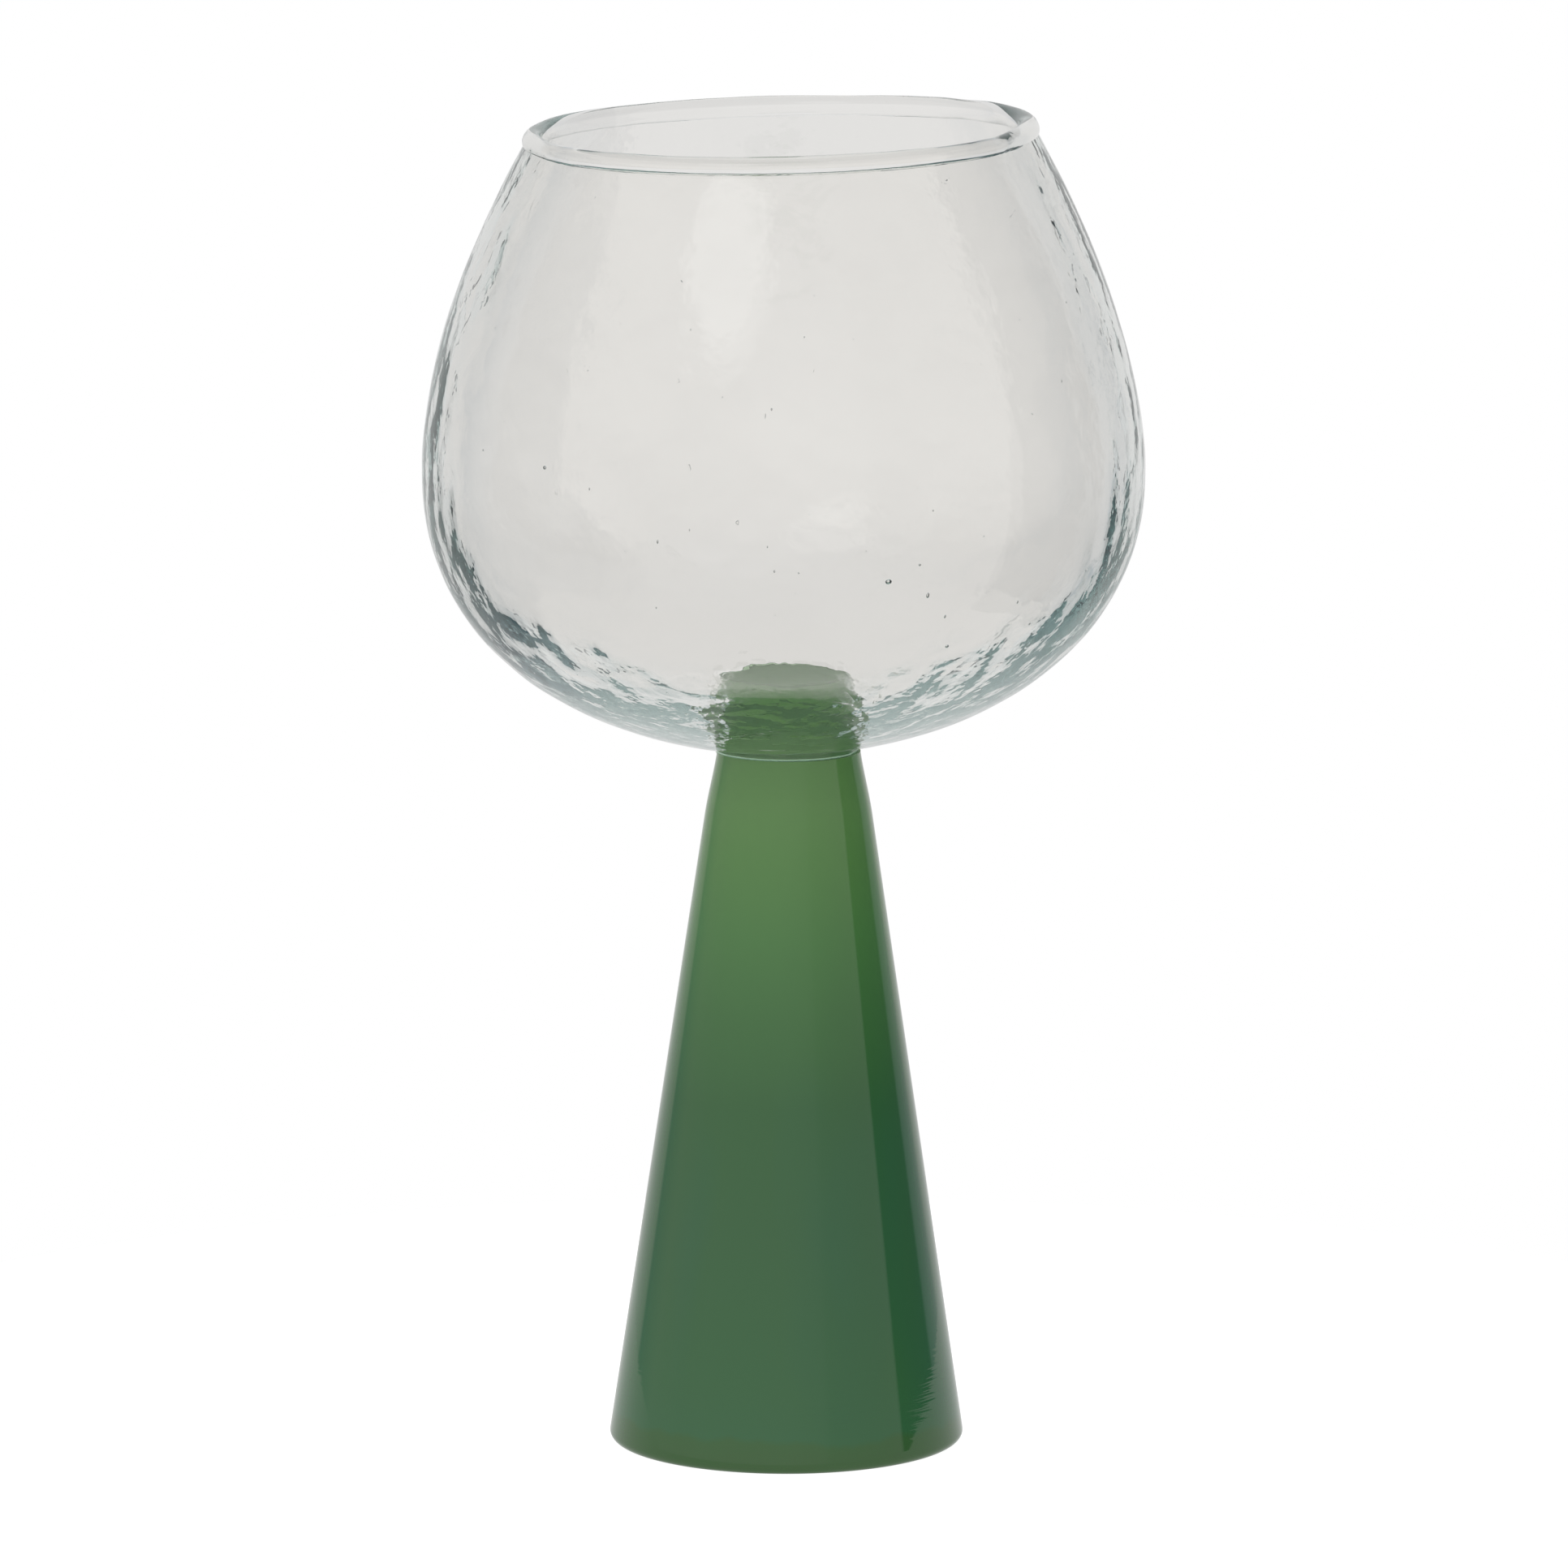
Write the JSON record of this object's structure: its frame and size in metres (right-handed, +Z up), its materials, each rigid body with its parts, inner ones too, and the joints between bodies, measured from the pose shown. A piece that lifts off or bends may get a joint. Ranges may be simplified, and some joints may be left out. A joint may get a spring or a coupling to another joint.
{
  "type": "wine glass",
  "caption": "Stemmed wine glass: clear blown tulip bowl with a rolled lip, welded by a clear button to a hollow green cone that is both stem and foot.",
  "frame": {"origin": "centre of the standing ring, on the table", "axes": "+Z up along the glass's axis of revolution; +X and +Y are free, as the glass is round"},
  "size_m": [0.09, 0.09, 0.1664],
  "materials": {
    "clear_glass": "clear blown soda glass with fine seeds and soft ripples, fire polished",
    "lip_glass": "clear, fire polished round bead",
    "weld_glass": "clear hot weld",
    "green_glass": "glossy opal green, cased, with fine turning lines near the foot"
  },
  "bodies": {
    "root": {"bowl": "clear_glass", "lip_bead": "lip_glass", "joining_button": "weld_glass", "cone_stem": "green_glass"}
  },
  "joints": []
}
